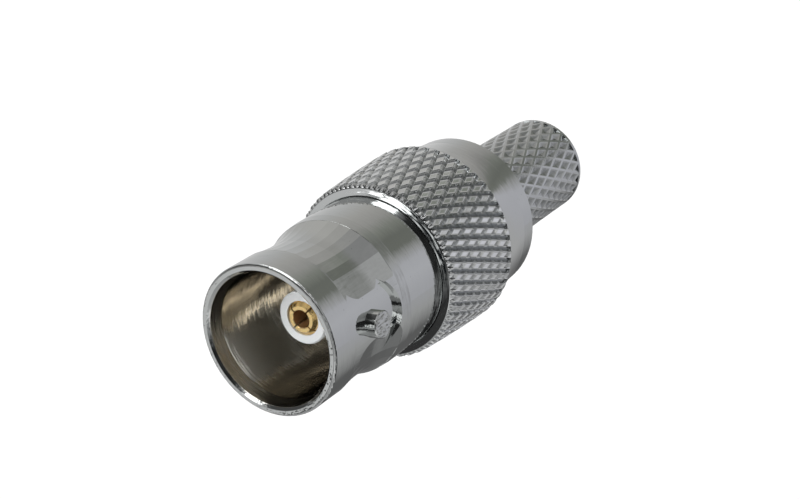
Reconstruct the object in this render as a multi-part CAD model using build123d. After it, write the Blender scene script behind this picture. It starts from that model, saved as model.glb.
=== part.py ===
from build123d import *
import math
import os

# Coaxial cable jack with a bayonet mouth, for crimping. Millimetres.
# It stands on the rear end of its crimp ferrule: Z runs up the axis to the open mouth,
# X points out of one of the two bayonet studs, and the origin is the middle of the ferrule's rear face.

# Lengths along the axis, from the ferrule's rear face up to the mouth
ferrule_length = 12.06
rear_ring_length = 1.45
taper_length = 3.35
grip_length = 7.14
shell_reach = 11.51         # mouth face to the front face of the knurled grip

# Mouth of the shell, the bayonet interface
ring_radius = 4.84
mouth_bore_radius = 4.065
mouth_bevel_radius = 4.44   # inner edge of the mouth's flat face
lead_in_radius = 4.27       # where the bevel meets the gentle lead-in cone
lead_in_depth = 1.0
mouth_rounding = 0.16
mouth_depth = 8.6
floor_thickness = 1.2

# Bayonet studs and the round-cut pads that they stand on
stud_radius = 0.86
stud_tip_radius = 5.50      # from the axis to the stud's end
stud_depth = 4.15           # mouth face to the stud's middle
stud_bevel = 0.07
pad_radius = 4.76           # from the axis to the pad, which keeps the ring's roundness
pad_cutter_radius = 2.72    # the hollow cutter that leaves the pad round the stud

# Milled waist between the studs, in strips counted by their angle from a stud
first_strip_angle = 44.8
strip_pitch = 8.875
strip_count = 12
strip_half_width = 2.0
opening_strip_angle = 33.5  # wide strip that ends in a straight step beside the pad
opening_strip_half_width = 0.98
opening_strip_sink = 0.04   # how much deeper it lies
closing_strip_angle = 154.9  # wide strip that runs out over the next pad
waist_front_depth = 2.3
waist_middle_depth = 4.5
waist_rear_depth = 7.02
waist_front_radius = 4.85
waist_radius = 4.66
waist_rear_radius = 5.11

# Rear cylinder of the shell and the spigot that the rear body is pressed on
collar_radius = 5.19
collar_start_depth = 7.8
shoulder_radius = 5.13      # cone under the collar, at the waist's rear edge
collar_seat_depth = 0.8     # how far the collar goes into the grip
spigot_radius = 4.9
spigot_length = 5.1         # from the collar's rear edge
shell_bore_radius = 3.45

# Rear body: knurled grip, taper, ring, boss and crimp stem
grip_front_radius = 5.97
grip_rear_radius = 6.40
grip_face_radius = 5.71     # outer edge of the grip's front face, where its bevel begins
grip_bevel_length = 0.26
grip_face_slope = 0.05      # how far the front face falls back from its inner edge to its outer edge
grip_swell = 0.05           # how far the grip bulges past a straight cone at its middle
knurl_count = 50
knurl_rows = 7
knurl_cut_off = 0.3         # share of the last row that the grip's front face takes away
knurl_depth = 0.16
knurl_land = 0.56           # share of each diamond that stays flat on top between the grooves
taper_front_radius = 6.36
taper_hollow = 0.07         # how far the taper sags inside a straight cone
rear_ring_radius = 5.66
rear_ring_end_radius = 5.60
rear_ring_rounding = 0.12
seat_bevel = 0.05           # inner edge of the grip's front face
boss_length = 1.0
stem_radius = 2.55
stem_bore_radius = 1.95
stem_length = 11.2
stem_bevel = 0.2
stem_groove_count = 9
stem_groove_pitch = 0.9
stem_groove_depth = 0.12
stem_groove_start = 1.6     # from the rear ring's face to the first groove

# Crimp ferrule
ferrule_radius = 3.585
ferrule_wall = 0.385
ferrule_front_band = 0.5
ferrule_rear_band = 0.4
ferrule_rounding = 0.16
ferrule_inner_bevel = 0.1
ferrule_knurl_count = 26
ferrule_knurl_rows = 11
ferrule_knurl_depth = 0.16
ferrule_knurl_set_back = 0.01
ferrule_pit = 0.8           # share of each diamond that its pit takes, inside a net of flat lands

# Insulators
nose_radius = 1.705
nose_front_depth = 3.66
nose_rounding = 0.08
neck_radius = 2.0
front_flange_length = 3.6

# Socket contact
contact_radius = 1.12
contact_front_depth = 3.5
contact_bore_radius = 0.58
contact_bore_depth = 5.4
contact_bevel = 0.28
contact_mouth_bevel = 0.04
slot_width = 0.1
slot_length = 4.4
slot_angle = 45.0           # from the studs
collar_of_contact_radius = 1.55
collar_of_contact_length = 0.8
pot_radius = 0.95
pot_bore_radius = 0.55
pot_bore_depth = 2.8
pot_end_gap = 0.3           # from the contact's end to the rear insulator's end
sight_hole_radius = 0.22
sight_hole_height = 1.7     # from the contact's rear end

# Clearances
slip = 0.02                 # radial, between pieces that are pressed or slid together
ferrule_slip = 0.07         # radial, between the ferrule and the boss that centres it
cutter_margin = 1.0         # how far cutters reach past what they cut

# Heights worked out from the lengths
body_rear_z = ferrule_length
taper_rear_z = body_rear_z + rear_ring_length
grip_rear_z = taper_rear_z + taper_length
grip_front_z = grip_rear_z + grip_length
mouth_z = grip_front_z + shell_reach
collar_end_z = grip_front_z - collar_seat_depth
spigot_end_z = collar_end_z - spigot_length
stud_z = mouth_z - stud_depth
floor_z = mouth_z - mouth_depth
floor_back_z = floor_z - floor_thickness
insulator_joint_z = floor_back_z - front_flange_length
insulator_radius = shell_bore_radius - slip
ferrule_bore_radius = ferrule_radius - ferrule_wall
boss_radius = ferrule_bore_radius - ferrule_slip
contact_end_z = spigot_end_z + pot_end_gap


def depth(distance):
    """Height of a place that lies this far behind the mouth's face."""
    return mouth_z - distance


def turned(outline):
    """Solid of revolution about Z of a closed outline of (radius, height) lines and arcs."""
    return revolve(make_face(outline), axis=Axis.Z)


def polyline(*points):
    """Straight lines through (radius, height) points, in the XZ plane."""
    return Polyline(*[(radius, 0, height) for radius, height in points])


def arc(start, end, radius):
    """Arc between two (radius, height) points; the sign of the radius chooses the side it bulges to."""
    middle = Vector(start[0] + end[0], 0, start[1] + end[1]) / 2
    along = Vector(end[0] - start[0], 0, end[1] - start[1])
    across = Vector(along.Z, 0, -along.X).normalized()
    half = along.length / 2
    sag = abs(radius) - math.sqrt(radius * radius - half * half)
    through = middle + across * math.copysign(sag, radius)
    return ThreePointArc((start[0], 0, start[1]), through, (end[0], 0, end[1]))


def bowed(start, end, bow):
    """Shallow arc between two (radius, height) points that swells outwards by bow at its middle."""
    middle = ((start[0] + end[0]) / 2 + bow, 0, (start[1] + end[1]) / 2)
    return ThreePointArc((start[0], 0, start[1]), middle, (end[0], 0, end[1]))


def cylinder(radius, low, high):
    """Round bar about Z between two heights."""
    return Pos(0, 0, low) * Cylinder(radius, high - low, align=(Align.CENTER, Align.CENTER, Align.MIN))


def knurl_point(step, height, radius, count):
    """Point of a knurl pattern; a step is half a pitch round the axis."""
    angle = math.pi * step / count
    return Vector(radius * math.cos(angle), radius * math.sin(angle), height)


def triangle(*corners):
    """Flat three-cornered face."""
    return Face(Wire.make_polygon(corners, close=True))


def cell_sides(level, rows):
    """The quarters of a diamond cell as (round, up) corner pairs, without those past the knurl's ends."""
    quarters = [((1, 0), (0, 1)), ((0, 1), (-1, 0)), ((-1, 0), (0, -1)), ((0, -1), (1, 0))]
    return [q for q in quarters if all(0 <= level + up <= rows for _, up in q)]


def knurl_cells(count, rows):
    """Middles of the diamond cells as (step, level), each row shifted by half a pitch."""
    for level in range(rows + 1):
        for step in range(level % 2, 2 * count, 2):
            yield step, level


def knurled_bar(low, high, radius_at, count, rows, inner_share, middle_cut, corner_cut):
    """Bar whose side is a field of diamonds, each with a smaller diamond inside that keeps the full radius.

    Sunk corners leave flat-topped diamonds between crossing grooves, and a sunk middle leaves a pit in a net.
    """
    rise = (high - low) / rows

    def at(step, level, cut=0.0):
        height = low + level * rise
        return knurl_point(step, height, radius_at(height) - cut, count)

    faces = []
    for step, level in knurl_cells(count, rows):
        middle = at(step, level, middle_cut)
        for (a_round, a_up), (b_round, b_up) in cell_sides(level, rows):
            corner_a = at(step + a_round, level + a_up, corner_cut)
            corner_b = at(step + b_round, level + b_up, corner_cut)
            inner_a = at(step + inner_share * a_round, level + inner_share * a_up)
            inner_b = at(step + inner_share * b_round, level + inner_share * b_up)
            faces.append(triangle(middle, inner_a, inner_b))
            faces.append(triangle(inner_a, corner_a, corner_b))
            faces.append(triangle(inner_a, corner_b, inner_b))
    for level in (0, rows):
        rim = []
        for step in range(level % 2, 2 * count, 2):
            rim += [at(step, level, middle_cut), at(step + inner_share, level), at(step + 1, level, corner_cut),
                    at(step + 2 - inner_share, level)]
        faces.append(Face(Wire.make_polygon(rim, close=True)))
    return Solid(Shell(faces))


def strip_cutter(half_width):
    """Form cutter for one milled strip of the waist, at angle zero."""
    clear_of_blank = stud_tip_radius + cutter_margin
    front = (waist_front_radius, 0, depth(waist_front_depth))
    middle = (waist_radius, 0, depth(waist_middle_depth))
    rear = (waist_rear_radius, 0, depth(waist_rear_depth))
    front_arc = TangentArc(middle, front, tangent=(0, 0, 1))
    rear_arc = TangentArc(middle, rear, tangent=(0, 0, -1))
    back = Polyline(front, (clear_of_blank, 0, front[2]), (clear_of_blank, 0, rear[2]), rear)
    return extrude(make_face([front_arc, back, rear_arc]), amount=half_width, dir=(0, 1, 0), both=True)


def shell_blank():
    """Turned blank of the shell: mouth ring, cone, collar, spigot and bores, without studs or milling."""
    ring_edge = ring_radius - mouth_rounding
    bevel_depth = mouth_bevel_radius - lead_in_radius
    rim = arc((ring_edge, mouth_z), (ring_radius, mouth_z - mouth_rounding), mouth_rounding)
    side = polyline((ring_radius, mouth_z - mouth_rounding), (ring_radius, depth(waist_front_depth)),
                    (shoulder_radius, depth(waist_rear_depth)), (collar_radius, depth(collar_start_depth)),
                    (collar_radius, collar_end_z), (spigot_radius, collar_end_z), (spigot_radius, spigot_end_z))
    inside = polyline((spigot_radius, spigot_end_z), (shell_bore_radius, spigot_end_z),
                      (shell_bore_radius, floor_back_z), (neck_radius + slip, floor_back_z),
                      (neck_radius + slip, floor_z), (mouth_bore_radius, floor_z),
                      (mouth_bore_radius, depth(lead_in_depth)), (lead_in_radius, depth(bevel_depth)),
                      (mouth_bevel_radius, mouth_z), (ring_edge, mouth_z))
    return turned([rim, side, inside])


def stud():
    """One bayonet stud, standing out along X from inside the shell's wall."""
    root = (mouth_bore_radius + pad_radius) / 2
    bar = Cylinder(stud_radius, stud_tip_radius - root, align=(Align.CENTER, Align.CENTER, Align.MIN))
    bar = chamfer(bar.edges().sort_by(Axis.Z)[-1], stud_bevel)
    return Pos(root, 0, stud_z) * Rot(0, 90, 0) * bar


def pad_cutter():
    """What the hollow cutter takes from round the stud at angle zero, down to the pad."""
    reach = Cylinder(pad_cutter_radius, 2 * stud_tip_radius, align=(Align.CENTER, Align.CENTER, Align.MIN))
    return Pos(0, 0, stud_z) * Rot(0, 90, 0) * reach - cylinder(pad_radius, 0, mouth_z)


def jack_shell():
    """Front shell: the blank with its waist milled in strips, two pads and a stud on each."""
    narrow = strip_cutter(strip_half_width)
    opening = Pos(-opening_strip_sink, 0, 0) * strip_cutter(opening_strip_half_width)
    pad = pad_cutter()
    cutters = []
    for side in (0, 180):
        for number in range(strip_count):
            cutters.append(Rot(0, 0, side + first_strip_angle + strip_pitch * number) * narrow)
        cutters.append(Rot(0, 0, side + opening_strip_angle) * opening)
        cutters.append(Rot(0, 0, side + closing_strip_angle) * narrow)
        cutters.append(Rot(0, 0, side) * pad)
    shell = shell_blank() - cutters
    return shell + stud() + Rot(0, 0, 180) * stud()


def grip_radius(height):
    """Radius over the knurl's points at a height of the grip."""
    share = (height - grip_rear_z) / grip_length
    straight = grip_rear_radius + (grip_front_radius - grip_rear_radius) * share
    return straight + 4 * grip_swell * share * (1 - share)


def stem_side():
    """Outline of the crimp stem's side from the boss to its end, with the grooves that bite the braid."""
    points = [(stem_radius, body_rear_z - boss_length)]
    half = stem_groove_depth
    for number in range(stem_groove_count):
        height = body_rear_z - stem_groove_start - number * stem_groove_pitch
        points += [(stem_radius, height + half), (stem_radius - stem_groove_depth, height), (stem_radius, height - half)]
    end = body_rear_z - stem_length
    points += [(stem_radius, end + stem_bevel), (stem_radius - stem_bevel, end)]
    return points


def rear_body():
    """Rear body: knurled grip that takes the shell's spigot, taper, ring, boss and crimp stem in one piece."""
    ring_edge = rear_ring_end_radius - rear_ring_rounding
    taper = bowed((taper_front_radius, grip_rear_z), (rear_ring_radius, taper_rear_z), -taper_hollow)
    ring = polyline((rear_ring_radius, taper_rear_z), (rear_ring_end_radius, body_rear_z + rear_ring_rounding))
    heel = arc((rear_ring_end_radius, body_rear_z + rear_ring_rounding), (ring_edge, body_rear_z), rear_ring_rounding)
    tail = polyline((ring_edge, body_rear_z), (boss_radius, body_rear_z), (boss_radius, body_rear_z - boss_length),
                    *stem_side(), (0, body_rear_z - stem_length), (0, grip_rear_z), (taper_front_radius, grip_rear_z))
    row_rise = grip_length / (knurl_rows - knurl_cut_off)
    knurl_top_z = grip_rear_z + row_rise * knurl_rows
    grip = knurled_bar(grip_rear_z, knurl_top_z, grip_radius, knurl_count, knurl_rows, knurl_land, 0, knurl_depth)
    body = turned([taper, ring, heel, tail]) + grip
    seat = collar_radius + slip
    socket = spigot_radius + slip
    face_edge_z = grip_front_z - grip_face_slope
    bevel_run = grip_front_radius - grip_face_radius
    clear_radius = grip_front_radius + bevel_run
    clear_z = knurl_top_z + cutter_margin
    facing = turned(polyline((0, grip_front_z), (seat + seat_bevel, grip_front_z), (grip_face_radius, face_edge_z),
                             (clear_radius, face_edge_z - 2 * grip_bevel_length), (clear_radius, clear_z),
                             (0, clear_z), (0, grip_front_z)))
    bores = turned(polyline((0, grip_front_z), (seat + seat_bevel, grip_front_z), (seat, grip_front_z - seat_bevel),
                            (seat, collar_end_z), (socket, collar_end_z), (socket, spigot_end_z),
                            (stem_bore_radius, spigot_end_z), (stem_bore_radius, body_rear_z - stem_length),
                            (0, body_rear_z - stem_length), (0, grip_front_z)))
    return body - facing - bores


def crimp_ferrule():
    """Loose sleeve with a pressed net of diamond pits between two smooth end bands."""
    net_low = ferrule_rear_band
    net_high = ferrule_length - ferrule_front_band
    net = knurled_bar(net_low, net_high, lambda height: ferrule_radius - ferrule_knurl_set_back,
                      ferrule_knurl_count, ferrule_knurl_rows, ferrule_pit, ferrule_knurl_depth, 0)
    rear_band = cylinder(ferrule_radius, 0, net_low)
    rear_band = fillet(rear_band.edges().sort_by(Axis.Z)[0], ferrule_rounding)
    front_band = cylinder(ferrule_radius, net_high, ferrule_length)
    front_band = chamfer(front_band.edges().sort_by(Axis.Z)[-1], ferrule_inner_bevel)
    wide = ferrule_bore_radius + ferrule_inner_bevel
    bore = turned(polyline((0, 0), (wide, 0), (ferrule_bore_radius, ferrule_inner_bevel),
                           (ferrule_bore_radius, ferrule_length), (0, ferrule_length), (0, 0)))
    return rear_band + net + front_band - bore


def front_insulator():
    """Insulator with the white nose, a neck through the shell's floor and a flange behind it."""
    nose_z = depth(nose_front_depth)
    bore = contact_radius + slip
    pocket = collar_of_contact_radius + slip
    pocket_z = insulator_joint_z + collar_of_contact_length
    edge = arc((nose_radius - nose_rounding, nose_z), (nose_radius, nose_z - nose_rounding), nose_rounding)
    rest = polyline((nose_radius, nose_z - nose_rounding), (nose_radius, floor_z), (neck_radius, floor_z),
                    (neck_radius, floor_back_z), (insulator_radius, floor_back_z),
                    (insulator_radius, insulator_joint_z), (pocket, insulator_joint_z), (pocket, pocket_z),
                    (bore, pocket_z), (bore, nose_z), (nose_radius - nose_rounding, nose_z))
    return turned([edge, rest])


def rear_insulator():
    """Bush that holds the contact's collar against the front insulator."""
    bore = pot_radius + slip
    return turned(polyline((bore, spigot_end_z), (insulator_radius, spigot_end_z),
                           (insulator_radius, insulator_joint_z), (bore, insulator_joint_z), (bore, spigot_end_z)))


def socket_contact():
    """Gold socket: four slotted fingers in front, a collar, and a crimp pot with a sight hole behind."""
    front_z = depth(contact_front_depth)
    bore_end_z = front_z - contact_bore_depth
    collar_top_z = insulator_joint_z + collar_of_contact_length
    pot_top_z = contact_end_z + pot_bore_depth
    body = turned(polyline((contact_bore_radius + contact_mouth_bevel, front_z),
                           (contact_radius - contact_bevel, front_z), (contact_radius, front_z - contact_bevel),
                           (contact_radius, collar_top_z), (collar_of_contact_radius, collar_top_z),
                           (collar_of_contact_radius, insulator_joint_z), (pot_radius, insulator_joint_z),
                           (pot_radius, contact_end_z), (pot_bore_radius, contact_end_z),
                           (pot_bore_radius, pot_top_z), (0, pot_top_z), (0, bore_end_z),
                           (contact_bore_radius, bore_end_z),
                           (contact_bore_radius, front_z - contact_mouth_bevel),
                           (contact_bore_radius + contact_mouth_bevel, front_z)))
    slot = Box(2 * stud_tip_radius, slot_width, slot_length, align=(Align.CENTER, Align.CENTER, Align.MAX))
    sight = Pos(0, 0, contact_end_z + sight_hole_height) * Rot(0, 90, 0) * Cylinder(
        sight_hole_radius, pot_radius * 2, align=(Align.CENTER, Align.CENTER, Align.MIN))
    cuts = [Pos(0, 0, front_z) * Rot(0, 0, slot_angle + turn) * slot for turn in (0, 90)]
    return body - cuts - sight


os.makedirs("parts", exist_ok=True)
pieces = {
    "jack_shell": jack_shell(),
    "rear_body": rear_body(),
    "crimp_ferrule": crimp_ferrule(),
    "front_insulator": front_insulator(),
    "rear_insulator": rear_insulator(),
    "socket_contact": socket_contact(),
}
for name, piece in pieces.items():
    export_step(piece, f"parts/{name}.step")
    print(name, "volume", round(piece.volume, 2), "valid", piece.is_valid, "solids", len(piece.solids()))
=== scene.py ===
# %% [markdown]
# # A bayonet cable jack in bright nickel
# The object is a small coaxial connector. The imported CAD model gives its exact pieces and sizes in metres,
# standing on its ferrule with the open mouth up. Its solids have every visible form down to the knurls, so
# this script keeps them as they are, gives each piece its finish, and sets up the light and the camera.

import math
import bpy
from mathutils import Matrix, Vector


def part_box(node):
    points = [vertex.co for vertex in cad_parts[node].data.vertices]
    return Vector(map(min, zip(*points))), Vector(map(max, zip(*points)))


MM = 0.001
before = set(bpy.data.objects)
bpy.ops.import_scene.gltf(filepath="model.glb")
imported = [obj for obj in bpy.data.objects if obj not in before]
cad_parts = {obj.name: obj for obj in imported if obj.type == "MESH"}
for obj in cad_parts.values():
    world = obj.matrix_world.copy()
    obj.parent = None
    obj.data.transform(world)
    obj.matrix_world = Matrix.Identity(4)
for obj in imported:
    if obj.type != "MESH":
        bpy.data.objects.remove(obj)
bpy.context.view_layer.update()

# %% [markdown]
# The finishes change at certain heights and radii of the pieces. Blender works in metres, but a maker
# thinks of this object in millimetres, so these sizes are in millimetres. The heights start from the CAD
# nodes' boxes.

# %% Where the finishes change
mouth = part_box("jack_shell")[1].z / MM
ferrule_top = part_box("crimp_ferrule")[1].z / MM
rear_ring_and_taper = 4.8
grip_rear = ferrule_top + rear_ring_and_taper
grip_length = 7.14
waist_rear = mouth - 7.0
waist_front = mouth - 2.35
rim_start = mouth - 0.18
bore_radius = 4.075
lead_in_radius = 4.29
stud_end_reach = 5.47
print("mouth at", round(mouth, 2), "mm, waist from", round(waist_rear, 2), "to", round(waist_front, 2), "mm")

# %% [markdown]
# A finish is a tree of nodes. It could be drawn by hand in the shader editor, but in a script each node
# would take four or five lines. These helpers make a material, add a node with its inputs wired, and do
# arithmetic, so that each finish below reads as a short list of steps.


# %% Helpers for node trees
def new_material(name):
    """Material with its node tree and the Principled shader in it."""
    material = bpy.data.materials.new(name)
    material.use_nodes = True
    return material, material.node_tree, material.node_tree.nodes["Principled BSDF"]


def node(tree, kind, settings=None, **inputs):
    """Adds a node with its properties; an input goes by its label, or by its number as i0, i1 and so on."""
    made = tree.nodes.new(kind)
    for key, value in (settings or {}).items():
        setattr(made, key, value)
    for key, value in inputs.items():
        socket = made.inputs[int(key[1:]) if key[0] == "i" and key[1:].isdigit() else key.replace("_", " ")]
        if isinstance(value, bpy.types.NodeSocket):
            tree.links.new(value, socket)
        else:
            socket.default_value = value
    return made


def maths(tree, operation, a, b=0.0):
    """Output of one arithmetic node."""
    return node(tree, "ShaderNodeMath", {"operation": operation}, i0=a, i1=b).outputs[0]


def plus(tree, a, b):
    return maths(tree, "ADD", a, b)


def minus(tree, a, b):
    return maths(tree, "SUBTRACT", a, b)


def times(tree, a, b):
    return maths(tree, "MULTIPLY", a, b)


def put_on(material, *names):
    """Gives CAD nodes this material."""
    for name in names:
        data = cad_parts[name].data
        data.materials.clear()
        data.materials.append(material)
        print(name, "gets", material.name)


# %% [markdown]
# One piece often has several skins, such as a milled part on a turned shell. Painting them by hand would
# need a picture file. A mask worked out from the place on the piece needs none and has no seams, so the
# helpers below turn a height or a radius in millimetres into a mask, and a mask into a mix of two colours.


# %% Masks
def places(tree):
    """Outputs for a point of the piece in millimetres: the point, its x, y and z, and its radius."""
    local = node(tree, "ShaderNodeTexCoord").outputs["Object"]
    point = node(tree, "ShaderNodeVectorMath", {"operation": "SCALE"}, i0=local, Scale=1 / MM).outputs[0]
    parts = node(tree, "ShaderNodeSeparateXYZ", None, Vector=point).outputs
    x, y, z = parts["X"], parts["Y"], parts["Z"]
    radius = maths(tree, "SQRT", plus(tree, maths(tree, "POWER", x, 2.0), maths(tree, "POWER", y, 2.0)))
    return point, x, y, z, radius


def between(tree, value, low, high, edge=0.05):
    """1 where the value lies between low and high, with soft ends."""
    rise = node(tree, "ShaderNodeMapRange", None, Value=value, From_Min=low - edge, From_Max=low + edge)
    fall = node(tree, "ShaderNodeMapRange", None, Value=value, From_Min=high + edge, From_Max=high - edge)
    return times(tree, rise.outputs[0], fall.outputs[0])


def share(tree, value, low, high):
    """Rises smoothly from 0 at low to 1 at high, and falls where high is below low."""
    return node(tree, "ShaderNodeMapRange", {"interpolation_type": "SMOOTHSTEP"}, Value=value, From_Min=low,
                From_Max=high).outputs["Result"]


def mixed(tree, factor, first, second):
    """Colour between two colours, by a mask."""
    return node(tree, "ShaderNodeMix", {"data_type": "RGBA"}, i0=factor, i6=first, i7=second).outputs[2]


print("masks are worked out in millimetres")

# %% [markdown]
# A lathe leaves fine rings and a milling cutter leaves fine lines along its path. The plating on top keeps
# both and adds a faint orange peel of its own. These marks are thousandths of a millimetre deep, far too
# fine for a mesh, and what shows of them is that they tilt the mirror a little from place to place. So a
# stretched noise tilts the shading normal, which breaks the border of a reflection into small teeth, as on
# real turned metal.


# %% Tool marks
ring_grain = (0.8, 0.8, 11.0)
line_grain = (9.0, 9.0, 0.9)
peel_grain = (2.6, 2.6, 2.6)
grain_detail = 2.0


def straight_normal(tree):
    """The surface's own normal, to start from."""
    return node(tree, "ShaderNodeNewGeometry").outputs["Normal"]


def tilt(tree, normal, x, y, z, grain, amount):
    """Normal tilted by noise, whose grain is how fine it is along x, y and z."""
    x, y, z = times(tree, x, grain[0]), times(tree, y, grain[1]), times(tree, z, grain[2])
    stretched = node(tree, "ShaderNodeCombineXYZ", None, X=x, Y=y, Z=z).outputs[0]
    noise = node(tree, "ShaderNodeTexNoise", None, Vector=stretched, Scale=1.0, Detail=grain_detail)
    lean = node(tree, "ShaderNodeVectorMath", {"operation": "SUBTRACT"}, i0=noise.outputs["Color"],
                i1=(0.5, 0.5, 0.5)).outputs[0]
    lean = node(tree, "ShaderNodeVectorMath", {"operation": "SCALE"}, i0=lean, Scale=amount).outputs[0]
    return node(tree, "ShaderNodeVectorMath", {"operation": "ADD"}, i0=normal, i1=lean).outputs[0]


def finished(tree, shader, normal):
    """Wires a tilted normal to the shader."""
    unit = node(tree, "ShaderNodeVectorMath", {"operation": "NORMALIZE"}, i0=normal).outputs[0]
    tree.links.new(unit, shader.inputs["Normal"])


print("rings are", ring_grain[2], "grains to the millimetre along the axis")

# %% [markdown]
# Bright plating has a few pinholes. They could be small dents, but at this size they are painted as dark
# dots, painted shade standing in for the tiny pits. A cell pattern gives each cell one dot at its middle,
# and leaving out most cells scatters them unevenly.

# %% Pinholes in the plating, painted as dots of shade
pinhole_scale = 2.4
pinhole_size = 0.07
share_without = 0.6
# The pinholes' darkness is painted shade.
pinhole_painted_shade = (0.42, 0.43, 0.42, 1)


def pinholes(tree, point):
    """1 on tiny scattered spots, where the pinholes' painted shade goes."""
    cells = node(tree, "ShaderNodeTexVoronoi", None, Vector=point, Scale=pinhole_scale)
    near = maths(tree, "LESS_THAN", cells.outputs["Distance"], pinhole_size)
    cell_number = node(tree, "ShaderNodeSeparateXYZ", None, Vector=cells.outputs["Color"]).outputs["X"]
    chosen = maths(tree, "GREATER_THAN", cell_number, share_without)
    return times(tree, near, chosen)


print("pinholes in", round(100 * (1 - share_without)), "cells of a hundred")

# %% [markdown]
# The shell is one piece with several skins: bright turned metal outside, a milled waist, scored stud ends,
# a slightly uneven rim, and a bore that kept the rings of the boring tool. Each skin gets a mask here.

# %% Skins of the shell
shell_nickel, tree, shader = new_material("shell_nickel")
shader.inputs["Metallic"].default_value = 1
point, x, y, z, radius = places(tree)
around = plus(tree, z, radius)
inside = between(tree, radius, 0.0, lead_in_radius, 0.03)
outside = minus(tree, 1.0, inside)
lead_in = between(tree, radius, bore_radius, lead_in_radius, 0.01)
milled = between(tree, z, waist_rear, waist_front, 0.06)
rim = between(tree, z, rim_start, mouth + 0.1, 0.02)
stud_end = maths(tree, "GREATER_THAN", maths(tree, "ABSOLUTE", x), stud_end_reach)
print("the shell has masks for its bore, lead-in, waist, rim and stud ends")

# %% [markdown]
# The turned faces carry rings and the waist carries lines along the axis, with hardly a ring left under
# them. In the bore the rings are longer and stronger. The stud ends were cut across and are the roughest.
# Noise along z plus radius makes rings on a flat face and on a cylinder alike, so no face needs a noise of
# its own.

# %% Tool marks on the shell
ring_tilt, ring_tilt_milled_away = 0.11, 0.09
line_tilt, peel_tilt = 0.07, 0.03
bore_grain, bore_tilt, lead_in_tilt = (0.35, 0.35, 9.0), 0.16, 0.2
rim_grain, rim_tilt = (7.0, 7.0, 7.0), 0.22
score_grain, score_tilt = (4.0, 9.0, 2.6), 1.6

ring_amount = times(tree, outside, minus(tree, ring_tilt, times(tree, milled, ring_tilt_milled_away)))
bore_amount = plus(tree, times(tree, inside, bore_tilt), times(tree, lead_in, lead_in_tilt))
normal = tilt(tree, straight_normal(tree), x, y, around, ring_grain, ring_amount)
normal = tilt(tree, normal, x, y, z, line_grain, times(tree, milled, line_tilt))
normal = tilt(tree, normal, x, y, z, peel_grain, peel_tilt)
normal = tilt(tree, normal, x, y, around, bore_grain, bore_amount)
normal = tilt(tree, normal, x, y, z, rim_grain, times(tree, rim, rim_tilt))
normal = tilt(tree, normal, x, y, z, score_grain, times(tree, stud_end, score_tilt))
finished(tree, shader, normal)
print("rings, lines, peel, bore marks, rim marks and scored stud ends")

# %% [markdown]
# Nickel is a slightly cool grey. Plating hardly reaches the bottom of a bore, so there it is thin, and the
# brass under it makes it browner and duller. The lead-in is painted a little lighter than the rest of the
# bore, a painted highlight for the light it catches from the mouth. A second material would leave a hard
# border, so masks change both the colour and the dullness.

# %% Colour of the shell
shell_colour = (0.62, 0.635, 0.63, 1)
bore_colour = (0.69, 0.655, 0.585, 1)
# The lead-in's lighter tone is a painted highlight on the brass brown.
lead_in_brass_and_painted_sheen = (0.74, 0.705, 0.63, 1)
mirror_roughness, bore_dullness, lead_in_dullness = 0.055, 0.08, 0.09

# Pinholes are painted into the nickel as dark dots of shade.
bright = mixed(tree, pinholes(tree, point), shell_colour, pinhole_painted_shade)
# The lead-in is painted lighter than the bore: painted highlight.
brown = mixed(tree, lead_in, bore_colour, lead_in_brass_and_painted_sheen)
tree.links.new(mixed(tree, inside, bright, brown), shader.inputs["Base Color"])
dull = plus(tree, mirror_roughness, times(tree, inside, bore_dullness))
dull = plus(tree, dull, times(tree, lead_in, lead_in_dullness))
tree.links.new(dull, shader.inputs["Roughness"])
put_on(shell_nickel, "jack_shell")

# %% [markdown]
# The rear body is turned like the shell, and its grip was knurled with hard wheels. The knurl itself is in
# the CAD solid. What it lacks is how rolled metal looks from close by, so a mask finds the knurled part
# first, and inside it the lathe's rings give way to a coarser unevenness.

# %% Turned and rolled parts of the rear body
knurl_start = grip_rear + 0.04
knurl_end = grip_rear + grip_length - 0.1
knurl_inner_radius = 5.75
body_ring_tilt, ring_tilt_rolled_away = 0.13, 0.1
uneven_grain, rolled_tilt = (3.2, 3.2, 3.2), 0.12

body_nickel, tree, shader = new_material("body_nickel")
shader.inputs["Metallic"].default_value = 1
shader.inputs["Roughness"].default_value = 0.07
point, x, y, z, radius = places(tree)
far_out = maths(tree, "GREATER_THAN", radius, knurl_inner_radius)
knurled = times(tree, between(tree, z, knurl_start, knurl_end), far_out)
ring_amount = minus(tree, body_ring_tilt, times(tree, knurled, ring_tilt_rolled_away))
body_normal = tilt(tree, straight_normal(tree), x, y, plus(tree, z, radius), ring_grain, ring_amount)
uneven_amount = plus(tree, peel_tilt, times(tree, knurled, rolled_tilt))
body_normal = tilt(tree, body_normal, x, y, z, uneven_grain, uneven_amount)
print("knurl from", round(knurl_start, 2), "to", round(knurl_end, 2), "mm")

# %% [markdown]
# The wheels pressed two families of grooves, one along a left-hand helix and one along a right-hand helix.
# To put anything on their edges, a shader has to know how far a point is from the nearest groove of each
# family. Counting steps round the grip and rows up it, and keeping only the fraction, gives that without
# any mesh.

# %% Grooves of the knurl
knurl_count = 50
rows_on_grip = 6.7
knurl_rise = grip_length / rows_on_grip
round_steps = times(tree, maths(tree, "ARCTAN2", y, x), knurl_count / math.pi)
up_steps = maths(tree, "DIVIDE", minus(tree, z, grip_rear), knurl_rise)


def from_groove(helix):
    """How far a point is from the middle of a groove: 0 on it, and 0.5 halfway to the next one."""
    return maths(tree, "ABSOLUTE", minus(tree, maths(tree, "FRACT", times(tree, helix, 0.5)), 0.5))


from_right = from_groove(plus(tree, round_steps, up_steps))
from_left = from_groove(minus(tree, round_steps, up_steps))
print(knurl_count, "diamonds round the grip, each", round(knurl_rise, 3), "mm up from the last")

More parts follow.
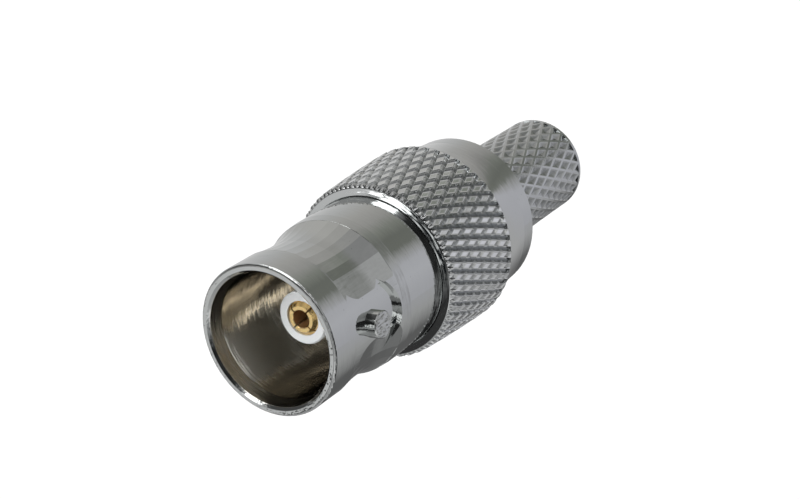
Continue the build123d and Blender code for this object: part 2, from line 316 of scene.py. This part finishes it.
# %% [markdown]
# Rolling pushes metal up into a burr along both sides of a groove, more along the family that was pressed
# last, and leaves each diamond slightly crowned. Real geometry for burrs this small would multiply the mesh
# by ten, so they are bump. They lie at the diamonds' edges, where the groove's share of the pitch ends.

# %% Burrs and crowns
burr_low, burr_high, burr_edge = 0.22, 0.28, 0.05
first_pressed = 0.25
crown_low, crown_high, crown_share = 0.02, 0.3, 1.3
burr_height = 0.05

burr_right = between(tree, from_right, burr_low, burr_high, burr_edge)
burr_left = between(tree, from_left, burr_low, burr_high, burr_edge)
burrs = maths(tree, "MAXIMUM", times(tree, burr_right, first_pressed), burr_left)
crown = share(tree, maths(tree, "MINIMUM", from_right, from_left), crown_low, crown_high)
relief = times(tree, plus(tree, burrs, times(tree, crown, crown_share)), knurled)
bump = node(tree, "ShaderNodeBump", None, Height=relief, Distance=burr_height * MM, Normal=body_normal)
finished(tree, shader, bump.outputs[0])
print("burrs", burr_height, "mm high")

# %% [markdown]
# Grooves are painted darker than the tops, as painted shade in the hollows, and the tops are painted
# lighter than plain nickel, as painted sheen. The family that was pressed last reads as long lines and the
# other one as short gaps, so the second is painted less dark than the first. Bright lines are painted along
# the burrs, as painted highlights.

# %% Colour of the rear body, with painted shade and highlights on the knurl
body_colour = (0.62, 0.635, 0.635, 1)
# Painted shade for the grooves, painted sheen for the tops, painted highlight for the burrs.
groove_painted_shade = (0.40, 0.415, 0.42, 1)
top_painted_sheen = (0.92, 0.935, 0.94, 1)
burr_painted_highlight = (0.98, 0.985, 0.99, 1)
groove_middle, groove_edge = 0.04, 0.24
short_gap_shade_share = 0.5
burr_highlight_share = 0.9

# Painted light on the knurl: dark in the grooves, light on the tops, bright along the burrs.
off_right = share(tree, from_right, groove_middle, groove_edge)
off_left = share(tree, from_left, groove_middle, groove_edge)
top = times(tree, off_left, plus(tree, 1 - short_gap_shade_share, times(tree, off_right, short_gap_shade_share)))
rolled = mixed(tree, top, groove_painted_shade, top_painted_sheen)
rolled = mixed(tree, times(tree, burr_left, burr_highlight_share), rolled, burr_painted_highlight)
# Pinholes are painted into the turned nickel as dark dots of shade.
smooth = mixed(tree, pinholes(tree, point), body_colour, pinhole_painted_shade)
tree.links.new(mixed(tree, knurled, smooth, rolled), shader.inputs["Base Color"])
put_on(body_nickel, "rear_body")

# %% [markdown]
# The ferrule is soft metal, so that it can be crimped, and it is plated dull. Its knurl is a net with a pit
# in each mesh of it. A mask by radius finds the pits, which is simpler than following the net and can't
# slip off it. The pits are grainy, and they are painted darker, as painted shade in the hollows.

# %% Ferrule
pit_floor, pit_top = 3.3, 3.53
coarse_grain, coarse_tilt = (5.0, 5.0, 5.0), 0.16
dent_grain, dent_tilt = (1.6, 1.6, 1.6), 0.08
ferrule_colour = (0.62, 0.635, 0.64, 1)
# The pits' darker tone is painted shade.
pit_painted_shade = (0.47, 0.485, 0.485, 1)

ferrule_nickel, tree, shader = new_material("ferrule_nickel")
shader.inputs["Metallic"].default_value = 1
shader.inputs["Roughness"].default_value = 0.19
point, x, y, z, radius = places(tree)
pit = between(tree, radius, pit_floor, pit_top, 0.03)
normal = tilt(tree, straight_normal(tree), x, y, z, coarse_grain, coarse_tilt)
normal = tilt(tree, normal, x, y, z, dent_grain, dent_tilt)
finished(tree, shader, normal)
tree.links.new(mixed(tree, pit, ferrule_colour, pit_painted_shade), shader.inputs["Base Color"])
put_on(ferrule_nickel, "crimp_ferrule")

# %% [markdown]
# Gold on the contact is thin and bright, with a little texture from the turning underneath. Inside the hole
# the gold gives out and bare brown metal shows. A pure mirror would be black in a hole this narrow, so that
# part is only partly metallic, and some soft light comes back out of it.

# %% Gold contact
hole_radius = 0.59
gold_grain, gold_tilt = (6.0, 6.0, 6.0), 0.12
gold_colour = (1.0, 0.74, 0.34, 1)
hole_colour = (0.42, 0.20, 0.08, 1)
metal_lost_in_hole = 0.7

contact_gold, tree, shader = new_material("contact_gold")
shader.inputs["Roughness"].default_value = 0.16
point, x, y, z, radius = places(tree)
hole = between(tree, radius, 0.0, hole_radius, 0.02)
finished(tree, shader, tilt(tree, straight_normal(tree), x, y, z, gold_grain, gold_tilt))
tree.links.new(mixed(tree, hole, gold_colour, hole_colour), shader.inputs["Base Color"])
tree.links.new(minus(tree, 1.0, times(tree, hole, metal_lost_in_hole)), shader.inputs["Metallic"])
put_on(contact_gold, "socket_contact")

# %% [markdown]
# The insulators are turned from a waxy white fluoroplastic. It is half dull, faintly cloudy, and carries
# fine rings from the lathe. Plain white would look like paper, so a soft noise moves it between two near
# whites.

# %% White insulators
cloud_scale, cloud_detail = 0.9, 3.0
shaded_white = (0.84, 0.87, 0.89, 1)
clear_white = (0.90, 0.92, 0.93, 1)
plastic_grain, plastic_tilt = (1.0, 1.0, 14.0), 0.06

white_plastic, tree, shader = new_material("white_insulator")
shader.inputs["Roughness"].default_value = 0.42
point, x, y, z, radius = places(tree)
cloud = node(tree, "ShaderNodeTexNoise", None, Vector=point, Scale=cloud_scale, Detail=cloud_detail)
tree.links.new(mixed(tree, cloud.outputs[0], shaded_white, clear_white), shader.inputs["Base Color"])
normal = tilt(tree, straight_normal(tree), x, y, plus(tree, z, radius), plastic_grain, plastic_tilt)
finished(tree, shader, normal)
put_on(white_plastic, "front_insulator", "rear_insulator")

# %% [markdown]
# The camera stands where the photographer's did. It could be moved by eye until the picture looks right,
# but the outlines of round parts are ellipses whose shapes fix the view, so its place and turn were fitted
# to them.

# %% Camera
camera_place = Vector((52.443, 32.472, 98.580))
look = Vector((-0.52746, -0.32309, -0.78575))
up = Vector((-0.07520, 0.93899, -0.33562))
camera_data = bpy.data.cameras.new("camera")
camera_data.lens = 67.6
camera_data.sensor_width = 36
camera_data.clip_start = 0.01
camera_data.clip_end = 10
camera = bpy.data.objects.new("camera", camera_data)
bpy.context.scene.collection.objects.link(camera)
side = look.cross(up).normalized()
upright = side.cross(look)
turned = Matrix((side, upright, -look)).transposed().to_4x4()
camera.matrix_world = Matrix.Translation(camera_place * MM) @ turned
bpy.context.scene.camera = camera
print("camera", round(camera_place.length), "mm from the middle of the ferrule's rear face")

# %% [markdown]
# The ground is plain and pale. More light would make it white but would also bleach the object, so it glows
# by itself, and its dark paint only catches the object's soft shadow. Mirrors would show it from every
# side, so they look past it to the tent below. It lies low enough for the ferrule to slide right off the
# stem above it.

# %% Pale floor
floor_half = 3.0
floor_drop = 12.2
floor_grey = (0.12, 0.12, 0.12, 1)
floor_glow = 0.93
corners = [(-floor_half, -floor_half, 0), (floor_half, -floor_half, 0), (floor_half, floor_half, 0),
           (-floor_half, floor_half, 0)]
floor_mesh = bpy.data.meshes.new("floor")
floor_mesh.from_pydata(corners, [], [(0, 1, 2, 3)])
floor = bpy.data.objects.new("floor", floor_mesh)
bpy.context.scene.collection.objects.link(floor)
floor.location.z = -floor_drop * MM
floor.visible_glossy = False
floor.visible_diffuse = False
floor.visible_shadow = False
floor_paint, floor_tree, floor_shader = new_material("floor_paint")
floor_shader.inputs["Base Color"].default_value = floor_grey
floor_shader.inputs["Roughness"].default_value = 1
floor_shader.inputs["Specular IOR Level"].default_value = 0
floor_shader.inputs["Emission Color"].default_value = (1, 1, 1, 1)
floor_shader.inputs["Emission Strength"].default_value = floor_glow
floor_mesh.materials.append(floor_paint)
print("floor", floor_drop, "mm under the ferrule's end")

# %% [markdown]
# A mirror finish shows the room it stands in, so a photographer builds a tent of cards round it. Real cards
# would each need a place and a size, and would shade one another. Here the tent is one sphere that only
# reflections and soft light can see, and its tone depends on the direction alone, by compass and by
# elevation.

# %% Directions on the light tent
tent_paint = bpy.data.materials.new("tent_cards")
tent_paint.use_nodes = True
tent = tent_paint.node_tree
tent.nodes.clear()
place = node(tent, "ShaderNodeTexCoord").outputs["Object"]
heading = node(tent, "ShaderNodeVectorMath", {"operation": "NORMALIZE"}, i0=place).outputs[0]
axes = node(tent, "ShaderNodeSeparateXYZ", None, Vector=heading).outputs
compass = maths(tent, "DEGREES", maths(tent, "ARCTAN2", axes["Y"], axes["X"]))
elevation = maths(tent, "DEGREES", maths(tent, "ARCSINE", axes["Z"]))
turn_start = -148.5
turn = maths(tent, "FRACT", maths(tent, "DIVIDE", minus(tent, compass, turn_start - 360), 360.0))
print("the compass starts at azimuth", turn_start)

# %% [markdown]
# Two kinds of card hang in the tent: a ring that runs right round and changes its tone on the way, and a
# single card with soft edges, hung before what is there. A ring is a colour ramp over the compass.


# %% Cards for the light tent
def grey(level, tint=(1, 1, 1)):
    """Light of one brightness, with an optional tint."""
    return tuple(level * part for part in tint)


def ring_of_card(stops):
    """Tone round the compass from (azimuth in degrees, colour) pairs."""
    ramp = node(tent, "ShaderNodeValToRGB", None, Fac=turn)
    elements = ramp.color_ramp.elements
    while len(elements) > 1:
        elements.remove(elements[-1])
    for number, (azimuth, colour) in enumerate(stops):
        place_on_ramp = (azimuth - turn_start) / 360
        element = elements[0] if number == 0 else elements.new(place_on_ramp)
        element.position = place_on_ramp
        element.color = (*colour, 1)
    return ramp.outputs["Color"]


def hang(behind, azimuths, elevations, level, edge):
    """Hangs a card before what is there, from one azimuth and elevation to another."""
    middle = sum(azimuths) / 2
    half = abs(azimuths[1] - azimuths[0]) / 2
    low, high = elevations
    aside = maths(tent, "PINGPONG", minus(tent, compass, middle), 180.0)
    mask = share(tent, aside, half + edge, half - edge)
    mask = times(tent, mask, share(tent, elevation, low - edge, low + edge))
    mask = times(tent, mask, share(tent, elevation, high + edge, high - edge))
    return mixed(tent, mask, behind, (*grey(level), 1))


print("a card of level 1 is white")

# %% [markdown]
# Below the horizon a mirror sees the white table, the table's edge, and the dim room beyond it. Four rings
# of card stand for them, from straight down up to the walls, and each fades into the next over some
# degrees. The tones were found by holding the render beside the photo, one part of the connector after the
# other.

# %% Lower half of the tent
cool, warm, olive = (0.98, 0.98, 1.04), (1.02, 1.0, 0.96), (1.0, 1.04, 0.93)
table_starts, knees_start, walls_start = (-68, -56), (-46, -34), (-16, -6)
straight_down = ring_of_card([
    (-148, grey(0.40)), (-90, grey(0.46)), (-30, grey(0.53, cool)), (15, grey(0.55, cool)), (32, grey(0.42)),
    (45, grey(0.22, olive)), (62, grey(0.18, olive)), (80, grey(0.21, olive)), (110, grey(0.32, warm)),
    (140, grey(0.42, warm)), (205, grey(0.5))])
table = ring_of_card([
    (-148, grey(0.2)), (-120, grey(0.12)), (-90, grey(0.14)), (-72, grey(0.30)), (-55, grey(0.43)),
    (-30, grey(0.51, cool)), (0, grey(0.59, cool)), (18, grey(0.56, cool)), (30, grey(0.41)),
    (42, grey(0.20, olive)), (60, grey(0.19, olive)), (76, grey(0.27, olive)), (95, grey(0.40, warm)),
    (120, grey(0.48, warm)), (150, grey(0.56)), (205, grey(0.66))])
knees = ring_of_card([
    (-148, grey(0.30)), (-90, grey(0.15)), (-60, grey(0.23)), (0, grey(0.25)), (15, grey(0.32)),
    (28, grey(0.54)), (38, grey(0.42)), (60, grey(0.28)), (75, grey(0.32)), (95, grey(0.45, warm)),
    (125, grey(0.56, warm)), (205, grey(0.5))])
walls = ring_of_card([
    (-148, grey(0.46)), (-105, grey(0.36)), (-75, grey(0.42)), (-58, grey(0.52)), (-30, grey(0.5)),
    (0, grey(0.32)), (30, grey(0.5)), (46, grey(0.44)), (58, grey(0.14)), (75, grey(0.04)), (120, grey(0.1)),
    (150, grey(0.16)), (175, grey(0.3)), (205, grey(0.46))])
tent_light = mixed(tent, share(tent, elevation, *table_starts), straight_down, table)
tent_light = mixed(tent, share(tent, elevation, *knees_start), tent_light, knees)
tent_light = mixed(tent, share(tent, elevation, *walls_start), tent_light, walls)
print("four rings of card, up to the walls at", walls_start[1], "degrees")

# %% [markdown]
# Above the walls the room is dark, and that dark is what gives nickel its depth, with a paler patch right
# overhead, where a window in the ceiling would be.

# %% Dark ceiling of the tent
ceiling_starts, black_starts, patch_starts = (29, 37), (60, 64), (74, 80)
near_black = (0.012, 0.014, 0.016, 1)
overhead = (*grey(0.45), 1)
ceiling = ring_of_card([
    (-148, grey(0.05)), (-100, grey(0.04)), (-75, grey(0.15)), (-52, grey(0.32)), (-30, grey(0.3)),
    (-10, grey(0.05)), (45, grey(0.02)), (66, grey(0.05)), (80, grey(0.42)), (115, grey(0.38)),
    (140, grey(0.42)), (190, grey(0.3)), (205, grey(0.05))])
tent_light = mixed(tent, share(tent, elevation, *ceiling_starts), tent_light, ceiling)
tent_light = mixed(tent, share(tent, elevation, *black_starts), tent_light, near_black)
tent_light = mixed(tent, share(tent, elevation, *patch_starts), tent_light, overhead)
print("dark from", ceiling_starts[1], "to", patch_starts[0], "degrees")

# %% [markdown]
# Single cards make what the eye reads as bright metal: a pale door and windows for the broad sheen, black
# cards that draw dark lines beside it, and small lamps above level 1 for the white-hot spots. Each was hung
# in the direction in which one part of the connector mirrors it, so its name says what it lights or
# darkens.

# %% Single cards
wide, soft, crisp = 2.5, 1.5, 1.0
cards = [
    ("pale door beside the studs", (-56, -35), (-6, 34), 0.82, wide),
    ("black card for the depth of the bore", (-120, 12), (43, 49), 0.02, soft),
    ("grey card for the wall of the pad", (-60, -15), (50, 56), 0.5, soft),
    ("low window for the lower side", (-128, -78), (29, 40), 0.82, wide),
    ("window for the flat of the mouth", (-188, -142), (39, 60), 0.67, soft),
    ("strip lamp for the top of the grip's face", (-206, -156), (59, 66), 3.0, crisp),
    ("grey card for the lower end of the grip's face", (-141, -132), (56, 63), 0.26, crisp),
    ("black card for the side of the stud", (104, 168), (2, 39), 0.08, wide),
    ("window for the upper side", (84, 112), (32, 52), 0.9, wide),
    ("grey card next to it", (112, 168), (46, 58), 0.62, wide),
    ("lamp for the hot spot on the collar", (82, 116), (36, 48), 3.2, soft),
    ("strip lamp for the right of the rim", (-20, 84), (57, 64), 1.5, soft),
    ("softbox for the top of the rim", (86, 144), (57, 66), 3.0, soft),
]
for name, azimuths, elevations, level, edge in cards:
    tent_light = hang(tent_light, azimuths, elevations, level, edge)
    print(name, azimuths, elevations)

# %% [markdown]
# The tent shines by itself, and soft light from it is stronger than its mirror image, so that white plastic
# renders about as white as it is while the nickel stays grey. It is a closed sphere far outside the object.
# The camera doesn't see it, and it casts no shadow.

# %% Put up the tent
soft_light_gain = 1.3
tent_radius = 2.5
soft_ray = node(tent, "ShaderNodeLightPath").outputs["Is Diffuse Ray"]
strength = plus(tent, 1.0, times(tent, soft_ray, soft_light_gain))
glow = node(tent, "ShaderNodeEmission", None, Color=tent_light, Strength=strength)
node(tent, "ShaderNodeOutputMaterial", None, Surface=glow.outputs[0])
tent_paint.cycles.emission_sampling = "NONE"
bpy.ops.mesh.primitive_uv_sphere_add(segments=48, ring_count=24, radius=tent_radius)
tent_ball = bpy.context.object
tent_ball.name = "light_tent"
tent_ball.data.materials.append(tent_paint)
tent_ball.visible_camera = False
tent_ball.visible_shadow = False
print("tent", tent_radius, "m in radius, with", len(cards), "single cards")

# %% [markdown]
# The world is what the camera sees beyond the floor, and it is plain white. It is white to mirrors and
# glass as well and dim to soft light, but the closed tent hides it from all three. Without the tent, the
# dim part would keep the object from being washed out.

# %% White world
plain_light = 0.3
world = bpy.data.worlds.new("white_ground")
bpy.context.scene.world = world
world.use_nodes = True
world_tree = world.node_tree
world_tree.nodes.clear()
ray = node(world_tree, "ShaderNodeLightPath").outputs
seen = maths(world_tree, "MAXIMUM", ray["Is Camera Ray"], ray["Is Glossy Ray"])
seen = maths(world_tree, "MAXIMUM", seen, ray["Is Transmission Ray"])
world_strength = maths(world_tree, "MAXIMUM", seen, plain_light)
background = node(world_tree, "ShaderNodeBackground", None, Color=(1, 1, 1, 1), Strength=world_strength)
node(world_tree, "ShaderNodeOutputWorld", None, Surface=background.outputs[0])
print("world white to the camera,", plain_light, "to soft light")

# %% [markdown]
# The view transform is set to Standard, so a colour renders about as it is written.

# %% Finish
bpy.context.scene.view_settings.view_transform = "Standard"
